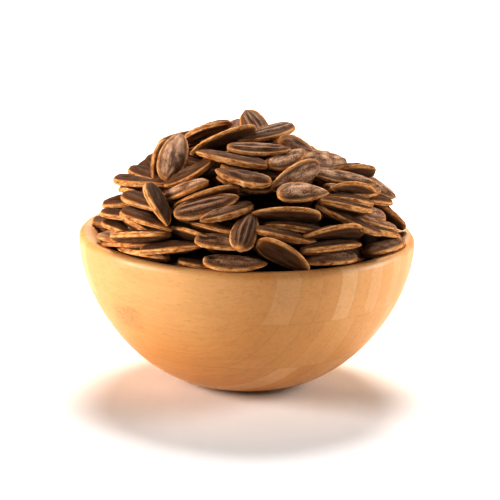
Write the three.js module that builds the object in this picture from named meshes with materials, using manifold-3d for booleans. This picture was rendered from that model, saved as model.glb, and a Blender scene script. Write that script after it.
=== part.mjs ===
// A small round bamboo bowl, heaped with roasted sunflower seeds in their shells.
// Millimetres, +Z up. The origin is the middle of the foot, on the surface that the bowl stands on.
import * as THREE from "three";
import { ConvexGeometry } from "three/addons/geometries/ConvexGeometry.js";
import { mergeVertices } from "three/addons/utils/BufferGeometryUtils.js";
import Module from "manifold-3d";

const wasm = await Module();
wasm.setup();

// The bowl: a thick wall that is nearly a half ball, on a small flat foot, under a rounded rim.
const OUTER_RADIUS = 60;
const BOWL_HEIGHT = 54;
const FOOT_RADIUS = 18;
const WIDEST_HEIGHT = 51.6;
const CREST_RADIUS = 57.7;
const MOUTH_RADIUS = 52;
const MOUTH_DEPTH = 5;
const FLOOR_THICKNESS = 9;
// How full each rounded quarter of the section is: 2 and 2 make an ellipse, less makes it flatter.
const OUTER_FULLNESS = { across: 1.6, up: 1.78 };
const INNER_FULLNESS = { across: 2, up: 2.1 };
const LIP_FULLNESS = { across: 2, up: 2 };
const ROUND_STEPS = 48;
const WALL_STEPS = 10;
const LIP_STEPS = 3;

// The heap: a core that fills the bowl and rises as a dome, with seeds set all over its top.
const GAP = 0.3;
const DOME_RISE = 42;
const DOME_RADIUS = 51.7;
const DOME_SPREAD = 1.2;
const DOME_FULLNESS = 0.5;
const CORE_DEPTH = 2.2;
const CORE_STEPS = 7;

// One seed: a flat pointed drop in its shell.
const SEED = { length: 22, width: 9, thickness: 4.2 };
const SEED_OUTLINE_STEPS = 6;
const SEED_BLUNTNESS = 0.16;
const RIDGE_REACH = 0.52;

// Rings of seeds round the dome. Leans, turns and tips are in radians.
const RING_SPACING = 9;
const SEED_SPACING = 21;
const LAST_RING_RADIUS = 51.6;
const SEED_SINK = 0.8;
const SLOPE_SHARE = 0.6;
const STEEPEST_LEAN = 0.55;
const TURN_SPREAD = 0.9;
const TIP_SPREAD = 0.3;
const SIZE_SPREAD = 0.12;
const FEWEST_IN_RING = 3;
const TOP_SEED_RADIUS = 1;
const FIRST_RANDOM = 11;
const RANDOM_STEP = { factor: 1664525, add: 1013904223, span: 2 ** 32 };

const SAME_POINT = 1e-4;
const SLOPE_STEP = 0.1;

const BAMBOO = { color: 0xe8aa60, roughness: 0.5, metalness: 0 };
const SHELL = { color: 0x4a3020, roughness: 0.75, metalness: 0 };

// A repeatable row of numbers from 0 to 1.
function randomRow(start) {
  let state = start;
  return () => {
    state = (state * RANDOM_STEP.factor + RANDOM_STEP.add) % RANDOM_STEP.span;
    return state / RANDOM_STEP.span;
  };
}

// A quarter of a rounded curve from (r0, z0), where it runs level, to (r1, z1), where it stands upright.
function roundedQuarter(r0, z0, r1, z1, fullness, steps) {
  const points = [];
  for (let i = 0; i <= steps; i++) {
    const angle = (i / steps) * (Math.PI / 2);
    const across = Math.sin(angle) ** (2 / fullness.across);
    const up = 1 - Math.cos(angle) ** (2 / fullness.up);
    points.push(new THREE.Vector2(r0 + (r1 - r0) * across, z0 + (z1 - z0) * up));
  }
  return points;
}

function innerWall(grow) {
  const floor = FLOOR_THICKNESS + grow;
  const mouthHeight = BOWL_HEIGHT - MOUTH_DEPTH;
  return roundedQuarter(0, floor, MOUTH_RADIUS - grow, mouthHeight, INNER_FULLNESS, WALL_STEPS);
}

function outerWall(grow) {
  const radius = OUTER_RADIUS + grow;
  return roundedQuarter(FOOT_RADIUS, 0, radius, WIDEST_HEIGHT, OUTER_FULLNESS, WALL_STEPS);
}

// The rim from its crest out and down to the widest place, and from its crest in and down to the mouth.
function outerLip(grow) {
  const crest = BOWL_HEIGHT + grow;
  return roundedQuarter(CREST_RADIUS, crest, OUTER_RADIUS + grow, WIDEST_HEIGHT, LIP_FULLNESS, LIP_STEPS);
}

function innerLip(grow) {
  const crest = BOWL_HEIGHT + grow;
  const mouthHeight = BOWL_HEIGHT - MOUTH_DEPTH;
  return roundedQuarter(CREST_RADIUS, crest, MOUTH_RADIUS - grow, mouthHeight, LIP_FULLNESS, LIP_STEPS);
}

// A solid turned round the Z axis from a profile of radius and height.
function turned(profile) {
  const geometry = new THREE.LatheGeometry(profile, ROUND_STEPS);
  geometry.rotateX(Math.PI / 2);
  return solidOf(geometry);
}

// grow makes the wall a little thicker all round: the shape that the seeds keep out of.
function bowlSolid(grow) {
  const footCentre = new THREE.Vector2(0, 0);
  const outside = [footCentre, ...outerWall(grow), ...outerLip(grow).reverse()];
  const inside = [...innerLip(grow), ...innerWall(grow).reverse()];
  return turned(withoutRepeats([...outside, ...inside]));
}

function withoutRepeats(points) {
  return points.filter((point, i) => i === 0 || point.distanceTo(points[i - 1]) > SAME_POINT);
}

function domeHeight(radius) {
  const fall = Math.min(1, (Math.abs(radius) / DOME_RADIUS) ** DOME_SPREAD);
  return BOWL_HEIGHT + DOME_RISE * (1 - fall) ** DOME_FULLNESS;
}

// Steepness of the dome as an angle from level.
function domeSlope(radius) {
  const rise = domeHeight(radius - SLOPE_STEP) - domeHeight(radius + SLOPE_STEP);
  return Math.atan2(rise, 2 * SLOPE_STEP);
}

// The inside of the bowl up to the mouth, then the dome, CORE_DEPTH under its surface.
function coreSolid() {
  const dome = [];
  for (let i = 0; i <= CORE_STEPS; i++) {
    const radius = DOME_RADIUS * Math.cos((i / CORE_STEPS) * (Math.PI / 2));
    const slope = domeSlope(radius);
    const inwards = Math.min(radius, CORE_DEPTH * Math.sin(slope));
    dome.push(new THREE.Vector2(radius - inwards, domeHeight(radius) - CORE_DEPTH * Math.cos(slope)));
  }
  const fill = innerWall(GAP).filter((point) => point.x < dome[0].x);
  return turned([...fill, ...dome]);
}

// A seed lying flat with its point towards +X: the hull of its edge and of a ridge on each face.
function seedGeometry(scale) {
  const points = [];
  for (let i = 0; i < SEED_OUTLINE_STEPS; i++) {
    const angle = ((i + 0.5) / SEED_OUTLINE_STEPS) * 2 * Math.PI;
    const along = Math.cos(angle);
    const taper = 1 - SEED_BLUNTNESS * along;
    points.push([along, Math.sin(angle) * taper, 0]);
  }
  for (const face of [-1, 1]) {
    points.push([-RIDGE_REACH, 0, face], [RIDGE_REACH, 0, face]);
  }
  const half = new THREE.Vector3(SEED.length, SEED.width, SEED.thickness).multiplyScalar(scale / 2);
  return new ConvexGeometry(points.map(([x, y, z]) => new THREE.Vector3(x, y, z).multiply(half)));
}

// Where the seeds lie: rings from the mouth of the bowl to the top of the dome.
function seedPlaces() {
  const places = [];
  for (let radius = LAST_RING_RADIUS; radius > 0; radius -= RING_SPACING * Math.cos(domeSlope(radius))) {
    const count = Math.max(FEWEST_IN_RING, Math.round((2 * Math.PI * radius) / SEED_SPACING));
    for (let i = 0; i < count; i++) {
      places.push({ radius, angle: (2 * Math.PI * (i + radius / RING_SPACING)) / count });
    }
  }
  places.push({ radius: TOP_SEED_RADIUS, angle: 0 });
  return places;
}

// Each seed lies along its ring, turned and tipped a little at random, and leans with the slope.
function placedSeed({ radius, angle }, random) {
  const spread = () => random() * 2 - 1;
  const geometry = seedGeometry(1 + SIZE_SPREAD * spread());
  const lean = Math.min(STEEPEST_LEAN, SLOPE_SHARE * domeSlope(radius));
  const flip = random() < 0.5 ? 0 : Math.PI;
  geometry.rotateZ(flip);
  geometry.rotateY(TIP_SPREAD * spread());
  geometry.rotateZ(TURN_SPREAD * spread());
  geometry.rotateX(-lean);
  geometry.rotateZ(angle - Math.PI / 2);
  const height = domeHeight(radius) - SEED_SINK;
  geometry.translate(radius * Math.cos(angle), radius * Math.sin(angle), height);
  return solidOf(geometry);
}

function heapSolid() {
  const random = randomRow(FIRST_RANDOM);
  let heap = coreSolid();
  for (const place of seedPlaces()) {
    heap = heap.add(placedSeed(place, random));
  }
  return outermost(heap.subtract(bowlSolid(GAP)));
}

// The one large body: the small hollows sealed between seeds are filled, and trimmed tips drop out.
function outermost(solid) {
  const bodies = solid.decompose();
  return bodies.reduce((most, body) => (body.volume() > most.volume() ? body : most));
}

function solidOf(geometry) {
  geometry.deleteAttribute("normal");
  geometry.deleteAttribute("uv");
  const merged = mergeVertices(geometry, SAME_POINT);
  const vertProperties = merged.attributes.position.array;
  const triVerts = new Uint32Array(merged.index.array);
  return new wasm.Manifold(new wasm.Mesh({ numProp: 3, vertProperties, triVerts }));
}

function meshOf(name, solid, finish) {
  const { vertProperties, triVerts } = solid.getMesh();
  const geometry = new THREE.BufferGeometry();
  geometry.setAttribute("position", new THREE.BufferAttribute(vertProperties, 3));
  geometry.setIndex(new THREE.BufferAttribute(triVerts, 1));
  geometry.computeVertexNormals();
  const mesh = new THREE.Mesh(geometry, new THREE.MeshStandardMaterial(finish));
  mesh.name = name;
  return mesh;
}

const root = new THREE.Group();
root.add(meshOf("bowl", bowlSolid(0), BAMBOO));
root.add(meshOf("seed_heap", heapSolid(), SHELL));

export default root;
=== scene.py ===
"""Looks of a turned bamboo bowl heaped with roasted sunflower seeds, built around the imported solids.

Shapes are worked out in millimetres and become metres when a mesh is made. The seeds that the
photograph shows are placed by the pixels of their two ends, and every seed is then settled against
its neighbours and the bowl, so that the heap holds together from all sides.
"""
import math
from collections import namedtuple

import bpy
import numpy as np
from mathutils import Matrix, Vector


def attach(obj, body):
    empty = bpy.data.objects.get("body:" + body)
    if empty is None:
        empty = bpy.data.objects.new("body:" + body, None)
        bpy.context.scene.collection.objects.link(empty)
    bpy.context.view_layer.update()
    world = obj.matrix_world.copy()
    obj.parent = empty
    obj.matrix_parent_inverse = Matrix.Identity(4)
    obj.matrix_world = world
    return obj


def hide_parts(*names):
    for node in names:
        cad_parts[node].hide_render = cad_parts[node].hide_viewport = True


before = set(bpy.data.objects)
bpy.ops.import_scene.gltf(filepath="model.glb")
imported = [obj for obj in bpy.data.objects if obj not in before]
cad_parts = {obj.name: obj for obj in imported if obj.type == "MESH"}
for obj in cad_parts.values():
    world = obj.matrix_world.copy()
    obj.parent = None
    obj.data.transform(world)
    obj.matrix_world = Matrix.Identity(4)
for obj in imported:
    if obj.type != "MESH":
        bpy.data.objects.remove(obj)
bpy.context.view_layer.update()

METRES = 0.001

# Bowl, in millimetres: the same sizes as the solid bowl has.
OUTER_RADIUS = 60.0
BOWL_HEIGHT = 54.0
FOOT_RADIUS = 18.0
WIDEST_HEIGHT = 51.6
CREST_RADIUS = 57.7
MOUTH_RADIUS = 52.0
MOUTH_HEIGHT = 49.0
FLOOR_HEIGHT = 9.0
OUTER_FULLNESS = (1.6, 1.78)
INNER_FULLNESS = (2.0, 2.1)
LIP_FULLNESS = (2.0, 2.0)
BOWL_TURN_STEPS = 256
WALL_STEPS = 56
LIP_STEPS = 14

# Rim as the seeds feel it: a ring of round section.
RIM_RING_RADIUS = 56.0
RIM_RING_HEIGHT = 49.9
RIM_TUBE = 4.05

# Heap surface above the rim, in millimetres.
DOME_RISE = 42.0
DOME_RADIUS = 51.7
DOME_SPREAD = 1.2
DOME_FULLNESS = 0.5

# Core under the seeds: its depth below that surface, its gap to the bowl and its lumps, which fade in.
CORE_DEPTH = 14.0
CORE_GAP = 0.6
LUMP_HEIGHT = 0.8
LUMP_FADE = 6
CORE_TURN_STEPS = 96
CORE_STEPS = 30

# A usual seed, in millimetres.
SEED_LENGTH = 23.5
SEED_WIDTH = 9.0
SEED_THICKNESS = 4.6
LONGEST = 25.5
SHORTEST = 20.5

# Camera, fitted to the photograph's 500 x 500 frame.
FRAME_PIXELS = 500
SENSOR_MM = 36.0
VIEW_ELEVATION = math.radians(14.3)
VIEW_ROLL = 0.026
VIEW_DISTANCE = 900.0
PIXELS_PER_MM = 2.793
TARGET = np.array([0.0, 0.0, 54.0])
TARGET_PIXEL = (247.07, 230.74)

AHEAD = np.array([0.0, math.cos(VIEW_ELEVATION), -math.sin(VIEW_ELEVATION)])
LEVEL_UP = np.array([0.0, math.sin(VIEW_ELEVATION), math.cos(VIEW_ELEVATION)])
LEVEL_RIGHT = np.array([1.0, 0.0, 0.0])
VIEW_UP = LEVEL_UP * math.cos(VIEW_ROLL) - LEVEL_RIGHT * math.sin(VIEW_ROLL)
VIEW_RIGHT = LEVEL_RIGHT * math.cos(VIEW_ROLL) + LEVEL_UP * math.sin(VIEW_ROLL)
EYE = TARGET - AHEAD * VIEW_DISTANCE
SKYWARD = np.array([0.0, 0.0, 1.0])

# The seeds that the photograph shows: pixel of the blunt end, pixel of the pointed end, the turn of
# the visible face in degrees (0 faces the camera, 90 shows the lit edge from above, less than 0
# shows the underside), the look, and how far in millimetres the seed lies nearer to the camera.
LEFT_SEEDS = {
    "low_outline_end": ((115, 179), (172, 188), 80, "edged", 0),
    "high_outline_end": ((129, 168), (178, 182), 58, "plain", -2),
    "tall_back_tab": ((151, 158), (168, 196), -40, "plain", -5),
    "tall_narrow": ((150, 180), (170, 140), -50, "ridged", 1),
    "tall_face": ((167, 180), (180, 133), 10, "dusty", 4),
    "dark_behind_tall": ((159, 147), (212, 132), 50, "plain", -4),
    "falling_edge": ((149, 184), (168, 226), 56, "edged", 6),
    "dark_face": ((124, 195), (176, 213), 60, "plain", -1),
    "open_mouth": ((124, 211), (172, 231), 66, "plain", 1),
    "curved_edge": ((124, 213), (162, 243), 74, "edged", 0),
    "small_edge": ((108, 218), (142, 245), 60, "plain", 0),
    "flank_high": ((104, 205), (156, 196), 72, "plain", -1),
    "flank_low": ((102, 212), (158, 221), 70, "plain", -1),
    "bright_edge": ((170, 236), (111, 238), -80, "edged", 3),
    "on_rim_grey": ((152, 229), (97, 240), 68, "dusty", 0),
    "under_rim_grey": ((152, 237), (102, 246), 76, "plain", 0),
    "low_tan_end": ((168, 260), (116, 249), 84, "edged", 0),
    "front_left": ((141, 252), (203, 246), 78, "edged", 2),
    "under_front_left": ((206, 268), (149, 259), 66, "dusty", -1),
    "low_by_rim": ((178, 264), (238, 270), 74, "plain", -1),
}
MIDDLE_SEEDS = {
    "double_edge": ((214, 163), (163, 187), 66, "edged", 0),
    "rising_dusty": ((207, 183), (160, 200), 70, "dusty", 1),
    "arc_behind": ((240, 190), (173, 209), -60, "plain", 0),
    "big_centre": ((174, 215), (240, 199), 42, "ridged", 2),
    "chipped_centre": ((252, 206), (200, 222), 66, "chipped", 2),
    "thin_below": ((250, 234), (190, 224), 80, "plain", -2),
    "thin_left": ((224, 246), (164, 229), -74, "plain", -1),
    "upright_face": ((239, 251), (252, 214), 12, "ridged", 3),
    "grey_blunt": ((195, 240), (254, 247), 55, "pitted", 1),
    "front_face": ((203, 263), (268, 266), 54, "pitted", 3),
    "thin_under_front": ((242, 266), (192, 268), 80, "plain", -2),
}
TOP_SEEDS = {
    "crusty_top": ((230, 122), (184, 140), -70, "chipped", 1),
    "dark_slope": ((257, 130), (190, 154), -54, "plain", 3),
    "crown_face": ((245, 113), (271, 152), 6, "ridged", -3),
    "pointing_right": ((293, 127), (238, 141), 64, "ridged", 0),
    "long_level": ((227, 149), (291, 151), 68, "ridged", 3),
    "longest": ((268, 167), (196, 153), 76, "edged", 3),
    "chewed": ((271, 185), (215, 172), 60, "chipped", 2),
    "grey_below_chewed": ((275, 189), (216, 180), 60, "plain", -1),
}
RIGHT_SEEDS = {
    "lit_slab": ((269, 168), (305, 151), 36, "dusty", 1),
    "brown_outline": ((280, 142), (317, 157), 40, "chipped", -1),
    "lit_right_end": ((345, 163), (300, 160), 46, "dusty", -4),
    "leaning_face": ((319, 167), (271, 190), -24, "dusty", 0),
    "wide_band": ((278, 195), (329, 192), 46, "dusty", 3),
    "dark_lower_face": ((321, 218), (252, 214), -58, "plain", 1),
    "flat_tan": ((323, 232), (262, 228), 86, "edged", 0),
    "knob_tip": ((253, 231), (317, 243), 78, "edged", 2),
    "falling_dark": ((258, 242), (310, 271), -42, "plain", 3),
    "falling_behind": ((263, 238), (310, 267), -72, "ridged", 0),
    "level_edge": ((300, 252), (361, 245), 82, "edged", 1),
    "front_dark": ((357, 257), (303, 261), 55, "pitted", 2),
    "end_behind_front": ((312, 249), (367, 257), 56, "plain", -4),
    "tan_over_dark": ((363, 232), (302, 237), -66, "plain", 1),
    "long_falling": ((316, 207), (382, 237), 84, "edged", 2),
    "thick_band": ((320, 202), (373, 211), 86, "edged", 1),
    "thin_band": ((371, 205), (324, 198), 84, "edged", 0),
    "dark_outline": ((374, 173), (320, 170), -64, "plain", -3),
    "lit_long": ((312, 173), (376, 185), 66, "dusty", 1),
    "lit_falling": ((348, 169), (395, 198), 60, "dusty", -1),
    "tan_bits": ((346, 190), (391, 204), 76, "plain", -1),
    "short_bright": ((326, 188), (381, 194), 68, "dusty", 0),
    "arc_over_dark": ((372, 192), (331, 192), -56, "plain", 1),
    "leaning_on_rim": ((370, 199), (404, 229), -66, "plain", 1),
    "grey_end": ((385, 218), (326, 204), 64, "dusty", -1),
    "low_falling": ((352, 215), (396, 232), 84, "dusty", 0),
    "end_by_rim": ((346, 225), (400, 236), 84, "edged", -1),
    "on_right_rim": ((366, 254), (406, 242), 60, "dusty", 3),
}
SHOWN_SEEDS = {**LEFT_SEEDS, **MIDDLE_SEEDS, **TOP_SEEDS, **RIGHT_SEEDS}

# Shown seeds that are shorter than the others, in millimetres.
SHORT_SEEDS = {"upright_face": 17.0, "lit_right_end": 18.5}

# Pixels along the heap's outline, which no unseen seed rises above.
HEAP_OUTLINE = ((80, 230), (103, 213), (121, 196), (128, 173), (146, 165), (162, 148), (193, 132),
                (212, 124), (240, 120), (262, 128), (280, 140), (300, 144), (322, 151), (345, 162),
                (372, 170), (384, 186), (392, 200), (412, 232))

# Places tried for seeds round the heap, the seeds of the layers below, and how deep each layer lies.
BACK_SPOTS = 186
SECOND_LAYER = 92
THIRD_LAYER = 60
SURFACE_DEPTH = 1.6
BACK_DEPTH = SURFACE_DEPTH + 0.8
SECOND_DEPTH = 8.0
THIRD_DEPTH = 12.5
RANDOM_SEED = 11

# How hard each kind of seed is to move: the shown ones hold their places best.
SHOWN_WEIGHT = 6.0
BACK_WEIGHT = 1.5
INNER_WEIGHT = 1.0


# ---- shared shapes

def rounded_quarter(r0, z0, r1, z1, fullness, steps):
    """Quarter of a squarish ellipse from the level start (r0, z0) to the upright end (r1, z1)."""
    angle = np.linspace(0, math.pi / 2, steps + 1)
    across, up = fullness
    radius = r0 + (r1 - r0) * np.sin(angle) ** (2 / across)
    height = z0 + (z1 - z0) * (1 - np.cos(angle) ** (2 / up))
    return np.column_stack([radius, height])


INNER_WALL = rounded_quarter(0, FLOOR_HEIGHT, MOUTH_RADIUS, MOUTH_HEIGHT, INNER_FULLNESS, 200)


def inner_radius(height):
    """Radius of the bowl's inner wall at a height."""
    return np.interp(height, INNER_WALL[:, 1], INNER_WALL[:, 0])


def dome_height(radius):
    """Height of the heap's surface over a radius; beyond the heap's edge it falls on steeply."""
    share = np.clip(np.abs(radius) / DOME_RADIUS, 0, 1) ** DOME_SPREAD
    return BOWL_HEIGHT + DOME_RISE * (1 - share) ** DOME_FULLNESS - 2.0 * np.maximum(
        np.abs(radius) - DOME_RADIUS, 0)


def dome_normal(point):
    """Outward direction of the heap's surface above a point."""
    radius = max(math.hypot(point[0], point[1]), 0.5)
    step = 0.25
    low_side = min(radius, DOME_RADIUS - 1.0)
    slope = (dome_height(low_side + step) - dome_height(low_side - step)) / (2 * step)
    return unit(np.array([-slope * point[0] / radius, -slope * point[1] / radius, 1.0]))


def unit(vector):
    """The vector at length one."""
    return vector / max(np.linalg.norm(vector), 1e-9)


def add_mesh(name, vertices, faces, material):
    """A smooth mesh object from millimetre vertices, with one material."""
    mesh = bpy.data.meshes.new(name)
    mesh.from_pydata((np.asarray(vertices) * METRES).tolist(), [], faces)
    mesh.update()
    mesh.polygons.foreach_set("use_smooth", [True] * len(mesh.polygons))
    mesh.materials.append(material)
    piece = bpy.data.objects.new(name, mesh)
    bpy.context.scene.collection.objects.link(piece)
    return piece


def ring_faces(rings, around):
    """Faces of a closed shape: rings of points between a pole before them and a pole after them."""
    faces = []
    last = 1 + rings * around
    for k in range(around):
        after = (k + 1) % around
        faces.append((0, 1 + after, 1 + k))
        for ring in range(rings - 1):
            here, there = 1 + ring * around, 1 + (ring + 1) * around
            faces.append((here + k, here + after, there + after, there + k))
        end = last - around
        faces.append((end + k, end + after, last))
    return faces


def lathe(profile, steps):
    """Vertices and faces of a profile of (radius, height) turned about the axis, closed on the axis."""
    turn = np.linspace(0, 2 * math.pi, steps, endpoint=False)
    vertices = [(0, 0, profile[0][1])]
    for radius, height in profile[1:-1]:
        vertices += [(radius * math.cos(a), radius * math.sin(a), height) for a in turn]
    vertices.append((0, 0, profile[-1][1]))
    return np.array(vertices), ring_faces(len(profile) - 2, steps)


# ---- node helpers

def put(kind, inputs=None, tree=None, **settings):
    """A shader node with its settings and its inputs, beside the nodes that feed it or in a tree."""
    linked = {key: value for key, value in (inputs or {}).items() if isinstance(value, bpy.types.NodeSocket)}
    tree = tree or next(iter(linked.values())).id_data
    node = tree.nodes.new("ShaderNode" + kind)
    for key, value in settings.items():
        setattr(node, key, value)
    for key, value in (inputs or {}).items():
        if key in linked:
            tree.links.new(value, node.inputs[key])
        else:
            node.inputs[key].default_value = value
    return node


def calc(operation, *values):
    """One step of arithmetic on numbers and sockets."""
    return put("Math", dict(enumerate(values)), operation=operation).outputs[0]


def times(first, second):
    """A number or socket multiplied by another."""
    return calc("MULTIPLY", first, second)


def fade(value, start, end):
    """Smooth change from 0 at start to 1 at end."""
    inputs = {"Value": value, "From Min": start, "From Max": end}
    return put("MapRange", inputs, interpolation_type="SMOOTHSTEP").outputs["Result"]


def within(value, low, high, soft):
    """1 between low and high, falling off softly to 0 outside."""
    return times(fade(value, low - soft, low + soft), fade(value, high + soft, high - soft))


def noise(place, scale, detail=3.0, roughness=0.55):
    """Value of a noise texture."""
    inputs = {"Vector": place, "Scale": scale, "Detail": detail, "Roughness": roughness}
    return put("TexNoise", inputs).outputs["Fac"]


def stretched(place, scale, rotation=(0, 0, 0)):
    """A place scaled and turned for a texture."""
    return put("Mapping", {"Vector": place, "Scale": scale, "Rotation": rotation}).outputs[0]


def colours(value, *stops, change="LINEAR"):
    """Colour ramp through (position, colour) stops."""
    node = put("ValToRGB", {"Fac": value})
    node.color_ramp.interpolation = change
    elements = node.color_ramp.elements
    while len(elements) < len(stops):
        elements.new(0.5)
    for element, (position, colour) in zip(elements, stops):
        element.position = position
        element.color = (*colour, 1)
    return node.outputs["Color"]


def pick(index, values):
    """The value that belongs to a whole number, as a stepped ramp."""
    place = calc("DIVIDE", calc("ADD", index, 0.5), len(values))
    stops = ((number / len(values), (value, value, value)) for number, value in enumerate(values))
    return colours(place, *stops, change="CONSTANT")


def mixed(amount, first, second, mode="MIX"):
    """Two colours mixed by an amount."""
    first, second = (c if isinstance(c, bpy.types.NodeSocket) else (*c, 1) for c in (first, second))
    node = put("Mix", {0: amount, 6: first, 7: second}, data_type="RGBA", blend_type=mode)
    return node.outputs[2]


def layered(colour, *layers):
    """The colour under layers of (amount, strength, colour)."""
    for amount, strength, new in layers:
        colour = mixed(times(amount, strength), colour, new)
    return colour


def new_material(name, **constants):
    """A material and its shader, with the constants set on the shader."""
    material = bpy.data.materials.new(name)
    material.use_nodes = True
    shader = material.node_tree.nodes["Principled BSDF"]
    for key, value in constants.items():
        shader.inputs[key.replace("_", " ")].default_value = value
    return material, shader


def finish_material(shader, colour, relief, depth):
    """The shader's colour, and fine relief with its depth in metres."""
    tree = shader.id_data
    tree.links.new(colour, shader.inputs["Base Color"])
    normal = put("Bump", {"Height": relief, "Distance": depth, "Strength": 1.0}).outputs[0]
    tree.links.new(normal, shader.inputs["Normal"])


# ---- bamboo bowl

# The glued block, in metres: strips stand side by side in layers, turned away from the view.
STRIP_TURN = math.radians(60)
STRIP_WIDTH = 0.0063
STRIP_START = 0.046
LAYER_HEIGHT = 0.019
LAYER_START = 0.035
LAYER_SHIFT = 0.002
GLUE_LINE = (0.00030, 0.00005)
# Tones of the strips that the photograph shows on the right, from the middle outwards.
TOP_TONES = (0.66, 0.46, 0.28, 0.80, 0.50, 0.70, 0.45, 0.65)
NEXT_TONES = (0.30, 0.42, 0.34, 0.52, 0.60, 0.36, 0.48, 0.38)
# The strip on the front left runs round the bowl in one tone.
EVEN_TONE = 0.35
# Where the bowl turns golden on the left, and the flecked patch: along the strips, up and across.
# # The golden side is partly the strips' own tone and partly painted sheen of the key light.
GOLDEN_SHEEN_EDGE = (-0.046, -0.060)
FLECK_ALONG = (0.010, 0.023)
FLECK_HEIGHT = (0.027, 0.0355)
FLECK_EDGE = (-0.044, -0.048)
STRIP_COLOURS = ((0.0, (0.655, 0.320, 0.092)), (0.5, (0.720, 0.385, 0.134)), (1.0, (0.765, 0.475, 0.235)))
# The golden tone: partly the left strips' own colour, partly painted sheen that pales the side where the key
# light falls.
GOLDEN_AND_SHEEN = (0.640, 0.376, 0.150)
PORE_BROWN = (0.40, 0.165, 0.050)
PATCH_BROWN = (0.53, 0.250, 0.075)
FLECK_BROWN = (0.40, 0.175, 0.052)
GLUE_BROWN = (0.36, 0.155, 0.050)
PALER_WOOD = (1.12, 1.16, 1.20)
DARKER_WOOD = (0.86, 0.78, 0.70)
FIBRE_RELIEF = 0.00002


def bamboo_strips(axes):
    """Strip tone and nearness to a glue line, in a block of glued layers."""
    layer_place = calc("DIVIDE", calc("SUBTRACT", axes.outputs["Z"], LAYER_START), LAYER_HEIGHT)
    layer = calc("FLOOR", layer_place)
    shifted = calc("SUBTRACT", calc("ADD", axes.outputs["X"], STRIP_START),
                   times(layer, LAYER_SHIFT))
    strip_place = calc("DIVIDE", shifted, STRIP_WIDTH)
    strip = calc("FLOOR", strip_place)
    key = put("CombineXYZ", {"X": strip, "Y": layer, "Z": 3.0}).outputs[0]
    tone = put("TexWhiteNoise", {"Vector": key}, noise_dimensions="3D").outputs["Value"]
    near_front = calc("LESS_THAN", strip, len(TOP_TONES) - 0.5)
    for level, values in ((0.0, TOP_TONES), (-1.0, NEXT_TONES)):
        here = times(calc("COMPARE", layer, level, 0.5), near_front)
        tone = put("Mix", {0: here, 2: tone, 3: pick(strip, values)}).outputs[0]
    uneven = calc("GREATER_THAN", strip, -0.5)
    tone = calc("ADD", EVEN_TONE, times(calc("SUBTRACT", tone, EVEN_TONE), uneven))
    between_strips, between_layers = (
        fade(times(calc("PINGPONG", place, 0.5), size), *GLUE_LINE)
        for place, size in ((strip_place, STRIP_WIDTH), (layer_place, LAYER_HEIGHT)))
    layer_strength = calc("ADD", 0.3, times(uneven, 0.7))
    seam = calc("MAXIMUM", times(between_strips, uneven), times(between_layers, layer_strength))
    return tone, seam


def flecked(axes, turned, colour):
    """The colour with the flecked patch that the photograph shows on the left."""
    patch = times(within(axes.outputs["Y"], *FLECK_ALONG, 0.003),
                  within(axes.outputs["Z"], *FLECK_HEIGHT, 0.0015))
    patch = times(patch, fade(axes.outputs["X"], *FLECK_EDGE))
    flecks = noise(stretched(turned, (1, 0.35, 1)), 1500.0, 1.0)
    fleck_amount = times(patch, fade(flecks, 0.45, 0.62))
    return layered(colour, (patch, 0.35, PATCH_BROWN), (fleck_amount, 0.45, FLECK_BROWN))


def bamboo_material():
    """Satin laminated bamboo: strips of uneven tone, long fibres, flecks and faint glue lines, and a golden
    left side that is partly painted sheen.
    """
    material, shader = new_material("bamboo", Roughness=0.48, IOR=1.5, Coat_Weight=0.55, Coat_Roughness=0.58)
    place = put("TexCoord", tree=shader.id_data).outputs["Object"]
    turned = stretched(place, (1, 1, 1), rotation=(0, 0, -STRIP_TURN))
    axes = put("SeparateXYZ", {"Vector": turned})
    tone, seam = bamboo_strips(axes)
    strip_colour = colours(tone, *STRIP_COLOURS)
    # The golden left side, partly painted sheen of the key light.
    strip_colour = mixed(fade(axes.outputs["X"], *GOLDEN_SHEEN_EDGE), strip_colour, GOLDEN_AND_SHEEN)
    fibres = noise(stretched(turned, (1, 0.03, 1)), 900.0, 4.0, 0.6)
    pores = noise(stretched(turned, (1, 0.25, 1)), 1700.0, 2.0, 0.6)
    streaks = noise(stretched(turned, (1, 0.04, 1)), 190.0, 3.0)
    cloud = noise(turned, 26.0, 2.0)
    paler = mixed(1.0, strip_colour, PALER_WOOD, "MULTIPLY")
    darker = mixed(1.0, strip_colour, DARKER_WOOD, "MULTIPLY")
    colour = layered(strip_colour,
                     (fade(fibres, 0.35, 0.75), 0.5, darker),
                     (fade(streaks, 0.5, 0.8), 0.45, darker),
                     (fade(cloud, 0.4, 0.75), 0.5, paler),
                     (fade(pores, 0.55, 0.75), 0.30, PORE_BROWN))
    colour = flecked(axes, turned, colour)
    colour = layered(colour, (seam, 0.14, GLUE_BROWN))
    shader.id_data.links.new(calc("ADD", 0.42, times(fibres, 0.12)), shader.inputs["Roughness"])
    finish_material(shader, colour, calc("SUBTRACT", fibres, times(seam, 0.4)), FIBRE_RELIEF)
    return material


def bowl_profile():
    """The bowl's section from the middle of its foot, round the lip, to the middle of its floor."""
    outside = rounded_quarter(FOOT_RADIUS, 0, OUTER_RADIUS, WIDEST_HEIGHT, OUTER_FULLNESS, WALL_STEPS)
    lip_out, lip_in = (rounded_quarter(CREST_RADIUS, BOWL_HEIGHT, *end, LIP_FULLNESS, LIP_STEPS)
                       for end in ((OUTER_RADIUS, WIDEST_HEIGHT), (MOUTH_RADIUS, MOUTH_HEIGHT)))
    inside = rounded_quarter(0, FLOOR_HEIGHT, MOUTH_RADIUS, MOUTH_HEIGHT, INNER_FULLNESS, WALL_STEPS)
    parts = [[(0, 0)], [(FOOT_RADIUS / 2, 0)], outside[:-1], lip_out[::-1], lip_in[1:], inside[::-1][1:]]
    return np.vstack(parts)


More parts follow.
